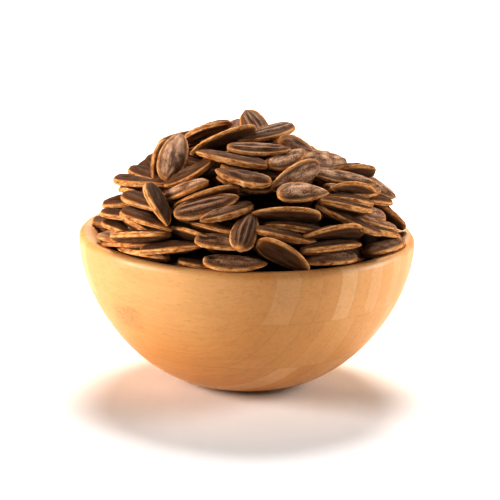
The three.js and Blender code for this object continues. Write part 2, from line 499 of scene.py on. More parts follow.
def make_bowl():
    """The bowl as one fine turned mesh."""
    vertices, faces = lathe(bowl_profile(), BOWL_TURN_STEPS)
    bowl = add_mesh("bamboo_bowl", vertices, faces, bamboo_material())
    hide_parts("bowl")
    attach(bowl, "root")


# ---- one seed

# Stations along a seed and points across its face.
FINE_MESH = (40, 21)
BACK_MESH = (28, 13)
INNER_MESH = (18, 7)
SIDE_LEVELS = (0.55, 0.0, -0.55)
SIDE_BULGE = (0.13, 0.16, 0.13)


def seed_outline(share, blunt_power, point_power):
    """Half width of a seed from its blunt end (share 0) to its point (share 1), 1 at its widest."""
    widest = blunt_power / (blunt_power + point_power)
    most = widest ** blunt_power * (1 - widest) ** point_power
    return share ** blunt_power * (1 - share) ** point_power / most


def ripple(rng, value, waves, reach):
    """Smooth random ripple along a value, about -1 to 1."""
    total = np.zeros_like(value)
    for _ in range(waves):
        total += np.cos(value * rng.uniform(0.3, 1.0) * reach + rng.uniform(0, 2 * math.pi))
    return total / waves ** 0.5


def seed_section(across):
    """A section's ring: place across (-1 to 1), level (1 top, -1 bottom, between: side) and bulge."""
    span = 0.5 * np.linspace(1, -1, across) + 0.5 * np.cos(np.linspace(0, math.pi, across))
    side = np.array(SIDE_LEVELS)
    bulge = np.array(SIDE_BULGE)
    flat = np.zeros(across)
    place = np.concatenate([span, np.full(3, -1.0), span[::-1], np.full(3, 1.0)])
    level = np.concatenate([np.ones(across), side, -np.ones(across), -side])
    return place, level, np.concatenate([flat, bulge, flat, bulge])


# The kinds of seed. Sizes in millimetres: half the edge's thickness, the border's width, and how deep
# # the chips, ribs, groove, dents, pit and seam go. Then the shell: how dark single seeds are, from least
# # to most, how much of that their faces show, dust, pale ribs with a painted highlight on their crests and
# # painted shade in their valleys, gloss and the colour of the lightest edge.
Kind = namedtuple("Kind", "edge_half border chips rib groove dents pit seam "
                          "least most dark dust pale_ribs gloss edge_light")
KINDS = {
    "plain": Kind(0.70, 0.40, 0.05, 0.12, 0.18, 0.16, 0.0, 0.05,
                  0.5, 1.0, 0.94, 0.24, 0.34, 0.18, (0.86, 0.54, 0.26)),
    "dusty": Kind(0.66, 0.35, 0.05, 0.08, 0.14, 0.15, 0.0, 0.0,
                  0.0, 0.35, 0.35, 1.2, 0.25, 0.30, (0.90, 0.61, 0.32)),
    "ridged": Kind(0.68, 0.45, 0.05, 0.26, 0.24, 0.10, 0.0, 0.02,
                   0.1, 0.6, 0.60, 0.6, 1.0, 0.30, (0.90, 0.61, 0.32)),
    "edged": Kind(0.98, 0.60, 0.09, 0.12, 0.20, 0.16, 0.0, 0.06,
                  0.3, 0.9, 0.90, 0.45, 0.30, 0.20, (0.92, 0.62, 0.32)),
    "chipped": Kind(1.00, 0.80, 0.17, 0.07, 0.14, 0.20, 0.0, 0.09,
                    0.1, 0.6, 0.60, 0.50, 0.30, 0.25, (0.92, 0.66, 0.36)),
    "pitted": Kind(0.66, 0.45, 0.07, 0.08, 0.12, 0.14, 0.7, 0.0,
                   0.0, 0.4, 0.60, 0.80, 0.30, 0.30, (0.86, 0.56, 0.26)),
    # Seeds of the layers below: darker tone, dark edge, little dust and gloss, which paint the shade they
    # lie in.
    "buried_painted_shade": Kind(0.70, 0.40, 0.05, 0.10, 0.15, 0.15, 0.0, 0.0,
                   0.6, 1.0, 0.95, 0.10, 0.05, 0.10, (0.36, 0.18, 0.06)),
}
# Ranges of the powers that shape the blunt and the pointed end, and of the number of ribs.
BLUNT_POWERS = (0.38, 0.46)
POINT_POWERS = (0.54, 0.70)
RIB_COUNTS = (1.5, 2.1)
# The groove inside the border, as shares of the half width, and the pit from the blunt end.
GROOVE_PLACE = 0.84
GROOVE_WIDTH = 0.10
PIT_PLACE = 3.4
PIT_SPREAD = (2.2, 1.9)
# How much seeds bow up, bow sideways (in millimetres) and twist (in radians) from middle to end.
BOW = 0.4
SIDEWAYS = 0.35
TWIST = 0.12


def chipped_half(rng, kind, along, place, outline, half):
    """The half width roughened by small chips and a few deep ones, and the small chips by themselves."""
    chips = ripple(rng, along + 9 * np.sign(place), 5, 4.5) * kind.chips
    deep = np.maximum(ripple(rng, along + 5 * np.sign(place), 3, 1.6) - 0.9, 0) * kind.chips * 1.5
    near_side = np.abs(place) ** 6
    return half + (chips - deep) * near_side * np.minimum(outline * 1.5, 1), chips


def seed_ribs(rng, along, share_across, level):
    """Crests of the ribs, which run from end to end and draw together with the outline."""
    count = rng.uniform(*RIB_COUNTS)
    phase = rng.uniform(0, 2 * math.pi, 2)
    wander = 0.07 * ripple(rng, along, 2, 0.35)
    wave = np.cos(2 * math.pi * count * (share_across + wander)
                  + np.where(level > 0, phase[0], phase[1]))
    return 2 * (0.5 + 0.5 * wave) ** 1.5 - 1


def bent_seed(rng, length, along, y, z):
    """Points of a seed after it is bowed, bent sideways and twisted, with a pole at each end."""
    bow = rng.normal(0, BOW)
    sideways = rng.normal(0, SIDEWAYS)
    twist = rng.normal(0, TWIST)
    reach = 2 * along / length
    z = z + bow * (reach ** 2 - 0.3)
    y = y + sideways * (reach ** 2 - 0.3)
    cosine, sine = np.cos(twist * reach), np.sin(twist * reach)
    points = np.stack([along, y * cosine - z * sine, y * sine + z * cosine], -1).reshape(-1, 3)
    poles = np.array([[-length / 2 - 0.1, sideways * 0.7, bow * 0.7],
                      [length / 2 + 0.15, sideways * 0.7, bow * 0.7]])
    return np.vstack([poles[:1], points, poles[1:]])


def seed_shape(rng, seed, stations, across):
    """Vertices in millimetres of one seed lying along x with its faces up and down, and its marks."""
    kind, length = KINDS[seed.look], seed.length
    share = 0.5 - 0.5 * np.cos(np.linspace(0, math.pi, stations + 2))[1:-1]
    place, level, bulge = (row[None, :] for row in seed_section(across))
    outline = seed_outline(share, rng.uniform(*BLUNT_POWERS), rng.uniform(*POINT_POWERS))[:, None]
    share = share[:, None]
    on_face = np.abs(level) > 0.9
    along = (share - 0.5) * length + 0 * place
    half, chips = chipped_half(rng, kind, along, place, outline, seed.width / 2 * outline)
    y = half * place
    # Faces rise from a border of even width, and the edge narrows towards both ends.
    border_share = np.minimum(kind.border / np.maximum(half, 0.3), 0.6)
    inward = np.clip(np.abs(place) / (1 - border_share), 0, 1)
    share_across = np.sign(place) * inward
    crown = (1 - inward ** 2.1) ** 0.85
    edge = kind.edge_half * np.minimum(outline ** 0.6 * 1.05, 1) * (1 + 0.35 * chips)
    rise = (seed.thickness / 2 - kind.edge_half) * outline ** 0.7
    z = np.where(on_face, level * (edge + rise * crown), level * edge)
    side_out = bulge - kind.seam * (level == 0)
    y = y + np.sign(place) * side_out * np.minimum(outline * 1.5, 1)
    # Ribs, groove and dents are on the faces, and the pit is on the upper one only.
    crest = seed_ribs(rng, along, share_across, level)
    fading = (1 - inward ** 4) * np.minimum(outline * 1.2, 1) ** 2
    uneven = 0.75 + 0.25 * ripple(rng, along + 2 * share_across, 2, 0.5)
    dip = np.exp(-((inward - GROOVE_PLACE) / GROOVE_WIDTH) ** 2) * np.minimum(outline * 1.2, 1) ** 2
    z = z + level * (kind.rib * uneven * crest * fading - kind.groove * dip) * on_face
    z = z + level * kind.dents * ripple(rng, along + 3 * y, 4, 0.9) * crown * on_face
    from_pit = (along - (-length / 2 + PIT_PLACE)) ** 2 / PIT_SPREAD[0] + y ** 2 / PIT_SPREAD[1]
    hollow = np.exp(-from_pit) * (level > 0.9)
    z = z - kind.pit * hollow
    to_edge = np.minimum((1 - np.abs(place)) * half, (np.minimum(share, 1 - share) * length) * 0.8)
    fields = {
        "rim": np.where(on_face, to_edge, np.where(level == 0, -4.0 * kind.seam, 0.0)),
        "crest": crest * fading * on_face,
        "groove": dip * on_face,
        "pit": hollow * (kind.pit > 0),
        "across": share_across * seed.width / 2,
        "height": level * kind.edge_half * np.ones_like(z),
    }
    marks = {key: np.concatenate([[0], value.ravel(), [0]]) for key, value in fields.items()}
    marks["along"] = np.concatenate([[-length / 2], along.ravel(), [length / 2]])
    return bent_seed(rng, length, along, y, z), marks


# ---- where the seeds lie

# Stretch of a sight line that is searched for the heap, from the target, and its step, in millimetres.
SIGHT_NEARER = 110
SIGHT_FARTHER = 60
SIGHT_STEP = 0.25
# A sight line that runs flatter over the heap than this (as a cosine) says nothing about depth.
FLATTEST_SIGHT = 0.15
# Back seeds keep this far from shown ones, and lie where the heap turns this far from the camera.
CLEAR_OF_SHOWN = 7.5
TURNED_AWAY = 0.10
BACK_LOOKS = ("plain", "plain", "dusty", "dusty", "ridged", "chipped", "pitted")
GOLDEN_ANGLE = math.pi * (3 - math.sqrt(5))
# How unseen seeds lie: shares of the heap's slope and of level, and how much that and their turn vary.
SLOPE_SHARE = 0.55
LEVEL_SHARE = 0.45
LIE_SPREAD = 0.22
TURN_SPREAD = 0.6
LENGTHS, WIDTHS, THICKNESSES = (0.88, 1.07), (0.9, 1.08), (0.9, 1.1)
# Widths and thicknesses of shown seeds, as shares of a usual seed's.
SHOWN_WIDTHS, SHOWN_THICKNESSES = (0.96, 1.08), (0.92, 1.08)


class Seed:
    """One seed's place: its middle, the direction to its point, its face's direction and its size."""

    def __init__(self, middle, along, normal, length, look, weight, name=""):
        self.middle = np.array(middle, float)
        self.along = unit(np.array(along, float))
        self.normal = unit(normal - self.along * np.dot(normal, self.along))
        self.length = length
        self.width = SEED_WIDTH
        self.thickness = SEED_THICKNESS
        self.look = look
        self.weight = weight
        self.name = name


def photo_pixels(points):
    """Pixels of the photograph that show the points."""
    from_eye = points - EYE
    scale = PIXELS_PER_MM * VIEW_DISTANCE / (from_eye @ AHEAD)
    return (TARGET_PIXEL[0] + (from_eye @ VIEW_RIGHT) * scale,
            TARGET_PIXEL[1] - (from_eye @ VIEW_UP) * scale)


def above_outline(middle, along, normal, sizes):
    """How far in millimetres each seed rises above the heap's outline in the photograph."""
    across = np.cross(normal, along)
    reach = np.stack([along * sizes[:, :1], -along * sizes[:, :1], across * sizes[:, 1:],
                      -across * sizes[:, 1:]]) / 2
    x, y = photo_pixels(middle[None] + reach)
    limit = np.interp(x, *np.array(HEAP_OUTLINE, float).T)
    return np.maximum((limit + 1 - y).max(axis=0), 0) / PIXELS_PER_MM


def pixel_ray(x, y):
    """Direction from the camera's eye through a pixel of the photograph."""
    right = (x - TARGET_PIXEL[0]) / PIXELS_PER_MM
    up = (TARGET_PIXEL[1] - y) / PIXELS_PER_MM
    return unit(AHEAD * VIEW_DISTANCE + VIEW_RIGHT * right + VIEW_UP * up)


def on_heap(x, y, depth):
    """Where the sight line of a pixel meets the heap's surface, or passes nearest to it."""
    direction = pixel_ray(x, y)
    reach = np.arange(VIEW_DISTANCE - SIGHT_NEARER, VIEW_DISTANCE + SIGHT_FARTHER, SIGHT_STEP)
    points = EYE + np.outer(reach, direction)
    over = points[:, 2] - dome_height(np.hypot(points[:, 0], points[:, 1])) + depth
    inside = np.nonzero(over <= 0)[0]
    best = inside[0] if len(inside) else int(np.argmin(over))
    return points[best], direction


def seed_axis(middle, direction, flat, shortest):
    """A seed's axis: its flat length in the picture, tipped along the sight line to follow the heap."""
    outward = dome_normal(middle)
    facing = np.dot(direction, outward)
    away = -np.dot(flat, outward) / facing if abs(facing) > FLATTEST_SIGHT else 0.0
    shown_length = np.linalg.norm(flat)
    most = math.sqrt(max(LONGEST ** 2 - shown_length ** 2, 0))
    least = math.sqrt(max(shortest ** 2 - shown_length ** 2, 0))
    sign = 1 if away >= 0 else -1
    return flat + direction * (sign * min(max(abs(away), least), most))


def turned_face(along, toward, turn):
    """Direction of a seed's face, turned about its axis from facing the camera."""
    side = unit(np.cross(along, toward))
    if np.dot(side, VIEW_UP - 0.3 * VIEW_RIGHT) < 0:
        side = -side
    face = unit(np.cross(side, along))
    if np.dot(face, toward) < 0:
        face = -face
    angle = math.radians(turn)
    return face * math.cos(angle) + side * math.sin(angle)


def shown_seed(name, blunt, point, turn, look, nearer, rng):
    """A seed placed by the pixels of its two ends."""
    middle_pixel = ((blunt[0] + point[0]) / 2, (blunt[1] + point[1]) / 2)
    middle, direction = on_heap(*middle_pixel, SURFACE_DEPTH)
    middle = middle - direction * nearer
    scale = PIXELS_PER_MM * VIEW_DISTANCE / np.dot(middle - EYE, AHEAD)
    flat = (VIEW_RIGHT * (point[0] - blunt[0]) - VIEW_UP * (point[1] - blunt[1])) / scale
    shortest = SHORT_SEEDS.get(name, SHORTEST)
    axis = seed_axis(middle, direction, flat, shortest)
    length = max(np.linalg.norm(axis), shortest)
    along = unit(axis)
    seed = Seed(middle, along, turned_face(along, -direction, turn), length, look, SHOWN_WEIGHT, name)
    seed.width = SEED_WIDTH * rng.uniform(*SHOWN_WIDTHS) * (max(length, SHORTEST) / SEED_LENGTH) ** 0.5
    seed.thickness = SEED_THICKNESS * rng.uniform(*SHOWN_THICKNESSES)
    return seed


def dome_spots(count, depth, start):
    """Evenly spread places under the heap's surface, in a spiral from the top to the rim."""
    radius = np.linspace(0, DOME_RADIUS - 0.6, 400)
    height = dome_height(radius)
    step = np.hypot(np.diff(radius), np.diff(height))
    area = np.concatenate([[0], np.cumsum(step * (radius[1:] + radius[:-1]) / 2)])
    spots = []
    for k in range(count):
        r = np.interp((k + 0.5) / count * area[-1], area, radius)
        angle = start + k * GOLDEN_ANGLE
        point = np.array([r * math.cos(angle), r * math.sin(angle), dome_height(r)])
        normal = dome_normal(point)
        spots.append((point - normal * depth, normal))
    return spots


def loose_seed(rng, middle, outward, looks, weight):
    """A seed lying as it would fall: its face between level and the slope of the heap."""
    normal = unit(outward * SLOPE_SHARE + SKYWARD * LEVEL_SHARE + rng.normal(0, LIE_SPREAD, 3))
    level = unit(np.cross(SKYWARD + rng.normal(0, 0.01, 3), outward + rng.normal(0, 0.01, 3)))
    across = np.cross(normal, level)
    angle = rng.normal(0, TURN_SPREAD)
    along = level * math.cos(angle) + across * math.sin(angle)
    if rng.random() < 0.5:
        along = -along
    length = SEED_LENGTH * rng.uniform(*LENGTHS)
    seed = Seed(middle, along, normal, length, looks[rng.integers(len(looks))], weight)
    seed.width = SEED_WIDTH * rng.uniform(*WIDTHS)
    seed.thickness = SEED_THICKNESS * rng.uniform(*THICKNESSES)
    return seed


def lay_out(rng):
    """All seeds before they settle: the shown ones, the back of the heap and two layers below."""
    seeds = [shown_seed(name, *facts, rng) for name, facts in SHOWN_SEEDS.items()]
    shown = np.array([s.middle for s in seeds])
    to_camera = unit(EYE - TARGET)
    spots = dome_spots(BACK_SPOTS, BACK_DEPTH, 0.3)
    for spot, outward in spots:
        clear = np.min(np.linalg.norm(shown - spot, axis=1))
        if np.dot(outward, to_camera) < TURNED_AWAY and clear > CLEAR_OF_SHOWN:
            seeds.append(loose_seed(rng, spot, outward, BACK_LOOKS, BACK_WEIGHT))
    for count, depth, start in ((SECOND_LAYER, SECOND_DEPTH, 1.1), (THIRD_LAYER, THIRD_DEPTH, 2.3)):
        for spot, outward in dome_spots(count, depth, start):
            # The layers below take the seed kind whose colours are painted shade.
            seeds.append(loose_seed(rng, spot, outward, ("buried_painted_shade",), INNER_WEIGHT))
    return seeds


# ---- settling

# Balls that stand for a seed: their places as shares of its length and width, and their radii.
BALL_PLACES = np.array([(-0.40, 0), (-0.22, 0), (0.0, 0), (0.22, 0), (0.38, 0),
                        (-0.24, 0.29), (-0.24, -0.29), (-0.02, 0.33), (-0.02, -0.33),
                        (0.17, 0.26), (0.17, -0.26)])
BALL_RADII = np.array([1.25, 1.85, 2.1, 1.75, 1.05, 1.3, 1.3, 1.35, 1.35, 1.2, 1.2])
CONTACT_REACH = 25.0
SPIN_RADIUS_SQUARED = 42.0
SETTLE_ROUNDS = 160
# Gaps to the bowl's wall and to its rim, and where the rim is felt, in millimetres.
WALL_GAP = 0.3
RIM_GAP = 0.25
RIM_ZONE = (6, 4)
# Shares of an overlap that one round takes away, and the most that a seed moves and turns in it.
CONTACT_SHARE = 0.45
WALL_SHARE = 0.6
WALL_SPIN = 0.3
MOST_MOVE = 1.5
MOST_SPIN = 0.12
# Pull of a shown seed to its sight line, its depth, its direction and its lie.
SIGHT_PULL = 0.35
DEPTH_PULL = 0.02
ALONG_PULL = 0.15
FACE_PULL = 0.10
# How far below the heap's surface the others stay: in the layers in front, in those behind, on top.
FRONT_COVER = 9.5
REAR_COVER = 3.0
TOP_COVER = 1.6
# The heap counts as front up to this turn from the camera (as a cosine).
FRONT_LIMIT = -0.05
# Shares of a rise above the surface and above the outline that a round takes away, and the most.
SINK_SHARE, MOST_SINK = 0.6, 1.2
DROP_SHARE, MOST_DROP = 0.5, 1.5


def ball_centres(middle, along, normal, sizes):
    """Centres of the balls that stand for every seed."""
    across = np.cross(normal, along)
    x = BALL_PLACES[None, :, 0] * sizes[:, None, 0]
    y = BALL_PLACES[None, :, 1] * sizes[:, None, 1]
    return middle[:, None, :] + x[..., None] * along[:, None, :] + y[..., None] * across[:, None, :]


def turned_by(vectors, spin):
    """Vectors turned by small spins, kept at length one."""
    vectors = vectors + np.cross(spin, vectors)
    return vectors / np.linalg.norm(vectors, axis=1)[:, None]


def container_push(balls):
    """How far and which way each ball has to move to be clear of the bowl and its rim."""
    radius = np.hypot(balls[..., 0], balls[..., 1])
    outward = np.stack([balls[..., 0], balls[..., 1], 0 * radius], -1)
    outward = outward / np.maximum(radius, 1e-6)[..., None]
    room = inner_radius(np.minimum(balls[..., 2], MOUTH_HEIGHT)) - BALL_RADII - WALL_GAP
    wall = np.where(balls[..., 2] < MOUTH_HEIGHT, np.maximum(radius - room, 0), 0)
    push = -outward * wall[..., None]
    ring = outward * RIM_RING_RADIUS
    ring[..., 2] = RIM_RING_HEIGHT
    off = balls - ring
    away = np.linalg.norm(off, axis=-1)
    short = np.maximum(RIM_TUBE + RIM_GAP + BALL_RADII - away, 0)
    near_rim = (radius > MOUTH_RADIUS - RIM_ZONE[0]) & (balls[..., 2] > MOUTH_HEIGHT - RIM_ZONE[1])
    short = np.where(near_rim, short, 0)
    return push + off / np.maximum(away, 1e-6)[..., None] * short[..., None]


def contact_push(balls, middle, share):
    """Moves and spins that part the seeds whose balls overlap, by each pair's deepest contact."""
    gaps = np.linalg.norm(middle[:, None] - middle[None], axis=2)
    first, second = np.nonzero(np.triu(gaps < CONTACT_REACH, 1))
    between = balls[first][:, :, None] - balls[second][:, None, :]
    depth = BALL_RADII[:, None] + BALL_RADII[None, :] - np.linalg.norm(between, axis=-1)
    depth = depth.reshape(len(first), -1)
    contact = np.argmax(depth, axis=1)
    rows = np.arange(len(first))
    touching = depth[rows, contact] > 0
    first, second, contact, rows = first[touching], second[touching], contact[touching], rows[touching]
    deepest = depth[rows, contact]
    ball_a, ball_b = contact // len(BALL_RADII), contact % len(BALL_RADII)
    push = between[rows, ball_a, ball_b]
    push = push / np.maximum(np.linalg.norm(push, axis=1), 1e-6)[:, None]
    spin_a = np.cross(balls[first, ball_a] - middle[first], push)
    spin_b = np.cross(balls[second, ball_b] - middle[second], push)
    give = share[first] * (1 + (spin_a ** 2).sum(1) / SPIN_RADIUS_SQUARED) \
        + share[second] * (1 + (spin_b ** 2).sum(1) / SPIN_RADIUS_SQUARED)
    force = CONTACT_SHARE * deepest / give
    move, spin = np.zeros_like(middle), np.zeros_like(middle)
    np.add.at(move, first, push * (force * share[first])[:, None])
    np.add.at(move, second, -push * (force * share[second])[:, None])
    np.add.at(spin, first, spin_a * (force * share[first] / SPIN_RADIUS_SQUARED)[:, None])
    np.add.at(spin, second, -spin_b * (force * share[second] / SPIN_RADIUS_SQUARED)[:, None])
    return move, spin


def bowl_push(balls, middle):
    """Moves and spins that bring each seed's worst ball out of the bowl's wall or rim."""
    walls = container_push(balls)
    worst = np.argmax(np.linalg.norm(walls, axis=-1), axis=1)
    every = np.arange(len(middle))
    wall_move = walls[every, worst]
    wall_arm = balls[every, worst] - middle
    return WALL_SHARE * wall_move, WALL_SPIN * np.cross(wall_arm, wall_move) / SPIN_RADIUS_SQUARED


def sink(middle, inner, to_camera):
    """Brings one unseen seed down under the heap's surface."""
    outward = dome_normal(middle)
    radius = math.hypot(middle[0], middle[1])
    lift = (middle[2] - float(dome_height(radius))) * outward[2]
    faces_camera = np.dot(outward, to_camera) > FRONT_LIMIT
    cover = FRONT_COVER if inner and faces_camera else (REAR_COVER if inner else TOP_COVER)
    excess = lift + cover
    if excess > 0:
        middle -= outward * min(excess, MOST_SINK) * SINK_SHARE


def settle(seeds):
    """Pushes overlapping seeds apart while the shown ones stay on their sight lines."""
    middle = np.array([s.middle for s in seeds])
    along = np.array([s.along for s in seeds])
    normal = np.array([s.normal for s in seeds])
    sizes = np.array([(s.length, s.width) for s in seeds])
    share = 1 / np.array([s.weight for s in seeds])
    shown = np.array([bool(s.name) for s in seeds])
    inner = np.array([s.weight <= INNER_WEIGHT for s in seeds])
    home, home_along, home_normal = middle.copy(), along.copy(), normal.copy()
    sight = (home - EYE) / np.linalg.norm(home - EYE, axis=1)[:, None]
    to_camera = unit(EYE - TARGET)
    for _ in range(SETTLE_ROUNDS):
        balls = ball_centres(middle, along, normal, sizes)
        move, spin = contact_push(balls, middle, share)
        wall_move, wall_spin = bowl_push(balls, middle)
        middle = middle + np.clip(move + wall_move, -MOST_MOVE, MOST_MOVE)
        spin = np.clip(spin + wall_spin, -MOST_SPIN, MOST_SPIN)
        along, normal = turned_by(along, spin), turned_by(normal, spin)
        drift = middle - home
        sideways = drift - sight * (drift * sight).sum(1)[:, None]
        middle = middle - np.where(shown[:, None], SIGHT_PULL * sideways + DEPTH_PULL * drift, 0)
        along = np.where(shown[:, None], along + ALONG_PULL * (home_along - along), along)
        normal = np.where(shown[:, None], normal + FACE_PULL * (home_normal - normal), normal)
        normal = normal - along * (normal * along).sum(1)[:, None] / (along ** 2).sum(1)[:, None]
        along = along / np.linalg.norm(along, axis=1)[:, None]
        normal = normal / np.linalg.norm(normal, axis=1)[:, None]
        # The others stay below the photograph's outline and under the heap's surface.
        rise = above_outline(middle, along, normal, sizes)
        middle[:, 2] -= np.where(shown, 0, np.minimum(DROP_SHARE * rise, MOST_DROP))
        for k in np.nonzero(~shown)[0]:
            sink(middle[k], inner[k], to_camera)
    for seed, m, a, n in zip(seeds, middle, along, normal):
        seed.middle, seed.along, seed.normal = m, a, n
    return seeds


# ---- seed pieces

# Linear colours of a roasted shell, its faces and then its edge, and of the core, which is painted shade;
# reliefs in metres.
FACE_DARK = (0.082, 0.029, 0.008)
FACE_LIGHT = (0.295, 0.121, 0.043)
FACE_DUST = (0.77, 0.500, 0.320)
FACE_SPECK = (0.045, 0.017, 0.006)
FACE_GRAIN = (0.62, 0.390, 0.240)
# Pale rib crests: partly the shell's pale stripes, partly a painted highlight. Rib valleys: partly dark
# stripes, partly painted shade.
PALE_RIB_AND_HIGHLIGHT = (0.60, 0.355, 0.205)
RIB_VALLEY_SHADE = (0.050, 0.020, 0.008)
FACE_ROAST = (0.056, 0.020, 0.005)
# Warm tint near the edge: partly the tan edge fading into the face, partly painted light on the curve of the
# face.
FACE_BORDER_AND_PAINTED_LIGHT = (0.34, 0.150, 0.046)
EDGE_COLOURS = ((0.30, (0.22, 0.080, 0.021)), (0.42, (0.54, 0.238, 0.066)), (0.54, (0.77, 0.435, 0.185)))
EDGE_PATCH = (0.30, 0.122, 0.035)
EDGE_SPECK = (0.13, 0.050, 0.016)
EDGE_SEAM = (0.17, 0.066, 0.020)
EDGE_INSIDE = (0.21, 0.092, 0.034)
# Painted shade in the groove inside the border.
GROOVE_SHADE = (0.055, 0.022, 0.009)
PIT_BLACK = (0.015, 0.007, 0.004)
SHELL_RELIEF = 0.00022
# The core's near-black browns are painted shade: the heap's shadowed inside between the seeds.
CORE_SHADE_COLOURS = ((0.35, (0.010, 0.004, 0.002)), (0.7, (0.050, 0.022, 0.010)))
CORE_RELIEF = 0.0006
SEED_MARKS = ("rim", "crest", "groove", "pit", "tone")
# How far apart in the grain two seeds are, so that no two look alike.
GRAIN_STEP = 40.0


def shell_face(kind, mark, streaks, patches, specks):
    """Colour of the faces: lengthwise streaks under dust and specks, with pale ribs that carry a painted
    highlight, dark valleys that are partly painted shade, and a warm tint near the edge that is partly
    painted light.
    """
    face = mixed(fade(streaks, 0.38, 0.62), FACE_DARK, FACE_LIGHT)
    dusting = calc("ADD", times(patches, 0.55), times(specks, 0.45))
    # Painted shade, partly the dark stripes, in the valleys between the ribs.
    valley_shade = times(fade(mark["crest"], -0.2, -0.9), kind.pale_ribs)
    return layered(face,
                   (fade(dusting, 0.42, 0.60), kind.dust, FACE_DUST),
                   (fade(specks, 0.52, 0.36), 0.65, FACE_SPECK),
                   (fade(specks, 0.56, 0.70), 0.40, FACE_GRAIN),
                   (fade(mark["crest"], 0.25, 0.85), kind.pale_ribs, PALE_RIB_AND_HIGHLIGHT),
                   (valley_shade, 0.85, RIB_VALLEY_SHADE),
                   (mark["tone"], kind.dark, FACE_ROAST),
                   # Partly painted light near the edge.
                   (fade(mark["rim"], 2.6, 0.4), 0.42, FACE_BORDER_AND_PAINTED_LIGHT))


def shell_edge(kind, mark, edge_noise, ragged, streaks, patches, specks):
    """Colour of the edge and the border: rough tan with darker patches, specks and a broken seam."""
    edge = colours(edge_noise, *EDGE_COLOURS, (0.70, kind.edge_light))
    seam = times(fade(mark["rim"], -0.02, -0.22), fade(streaks, 0.64, 0.40))
    return layered(edge,
                   (fade(patches, 0.48, 0.62), 0.45, EDGE_PATCH),
                   (fade(specks, 0.46, 0.30), 0.5, EDGE_SPECK),
                   (seam, 0.6, EDGE_SEAM),
                   (fade(ragged, 0.25, 1.0), 0.5, EDGE_INSIDE))


def seed_material(name, kind):
    """Roasted seed shell: dusty brown faces with lengthwise streaks that pale towards rough tan edges,
    partly as painted light, with painted shade in the groove.
    """
    material, shader = new_material(name, Roughness=0.68, IOR=1.45, Specular_IOR_Level=kind.gloss)
    grain = put("Attribute", tree=shader.id_data, attribute_name="grain").outputs["Vector"]
    mark = {key: put("Attribute", tree=shader.id_data, attribute_name=key).outputs["Fac"]
            for key in SEED_MARKS}
    streaks = noise(stretched(grain, (0.10, 1.5, 1.5)), 1.0, 3.0, 0.6)
    patches = noise(stretched(grain, (0.20, 0.38, 0.38)), 1.0, 4.0, 0.6)
    specks = noise(stretched(grain, (2.2, 3.0, 3.0)), 1.0, 2.0, 0.7)
    edge_noise = noise(stretched(grain, (0.35, 1.0, 1.0)), 1.0, 4.0, 0.65)
    ragged = calc("ADD", mark["rim"], times(calc("SUBTRACT", edge_noise, 0.5), 2.4))
    face = shell_face(kind, mark, streaks, patches, specks)
    edge = shell_edge(kind, mark, edge_noise, ragged, streaks, patches, specks)
    # Painted shade darkens the groove; the pit is dark.
    colour = layered(mixed(fade(ragged, 0.10, 1.30), edge, face),
                     (mark["groove"], 0.6, GROOVE_SHADE), (mark["pit"], 0.85, PIT_BLACK))
    relief = calc("ADD", times(specks, 0.6), times(streaks, 0.9))
    finish_material(shader, colour, relief, SHELL_RELIEF)
    return material


def placed(seed, vertices):
    """A seed's own vertices brought to where it lies."""
    across = np.cross(seed.normal, seed.along)
    return seed.middle + vertices @ np.array([seed.along, across, seed.normal])


def resolution(seed):
    """Stations and points across: fine on shown seeds, coarse on those out of sight."""
    if seed.name:
        return FINE_MESH
    return BACK_MESH if seed.weight > INNER_WEIGHT else INNER_MESH


def join_seeds(name, seeds, rng, material):
    """One piece of many seeds, with the marks that its material reads."""
    vertices, faces, grain = [], [], []
    marks = {key: [] for key in SEED_MARKS}
    base = 0
    for number, seed in enumerate(seeds):
        stations, across = resolution(seed)
        shape_faces = ring_faces(stations, 2 * across + 2 * len(SIDE_LEVELS))
        tone = rng.uniform(KINDS[seed.look].least, KINDS[seed.look].most)
        own, own_marks = seed_shape(rng, seed, stations, across)
        own_marks["tone"] = np.full(len(own), tone)
        vertices.append(placed(seed, own))
        faces += [tuple(base + corner for corner in face) for face in shape_faces]
        height = own_marks["height"] + GRAIN_STEP * number
        grain.append(np.stack([own_marks["along"], own_marks["across"], height], -1))
        for key in SEED_MARKS:
            marks[key].append(own_marks[key])
        base += len(own)
    piece = add_mesh(name, np.concatenate(vertices), faces, material)
    for key, values in marks.items():
        layer = piece.data.attributes.new(key, "FLOAT", "POINT")
        layer.data.foreach_set("value", np.concatenate(values).astype(np.float32))
    layer = piece.data.attributes.new("grain", "FLOAT_VECTOR", "POINT")
    layer.data.foreach_set("vector", np.concatenate(grain).astype(np.float32).ravel())
    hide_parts("seed_heap")
    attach(piece, "root")


def make_seeds(seeds):
    """One piece for each look of seed."""
    rng = np.random.default_rng(RANDOM_SEED + 1)
    for look, kind in KINDS.items():
        group = [s for s in seeds if s.look == look]
        join_seeds(f"{look}_seeds", group, rng, seed_material("shell_" + look, kind))


def painted_shade_core_material():
    """The dark depth of the heap between the seeds, painted as shade in near-black browns."""
    material, shader = new_material("heap_depth_painted_shade", Roughness=0.9, Specular_IOR_Level=0.1)
    place = put("TexCoord", tree=shader.id_data).outputs["Object"]
    mottle = noise(place, 260.0, 4.0)
    colour = colours(mottle, *CORE_SHADE_COLOURS)
    finish_material(shader, colour, mottle, CORE_RELIEF)
    return material


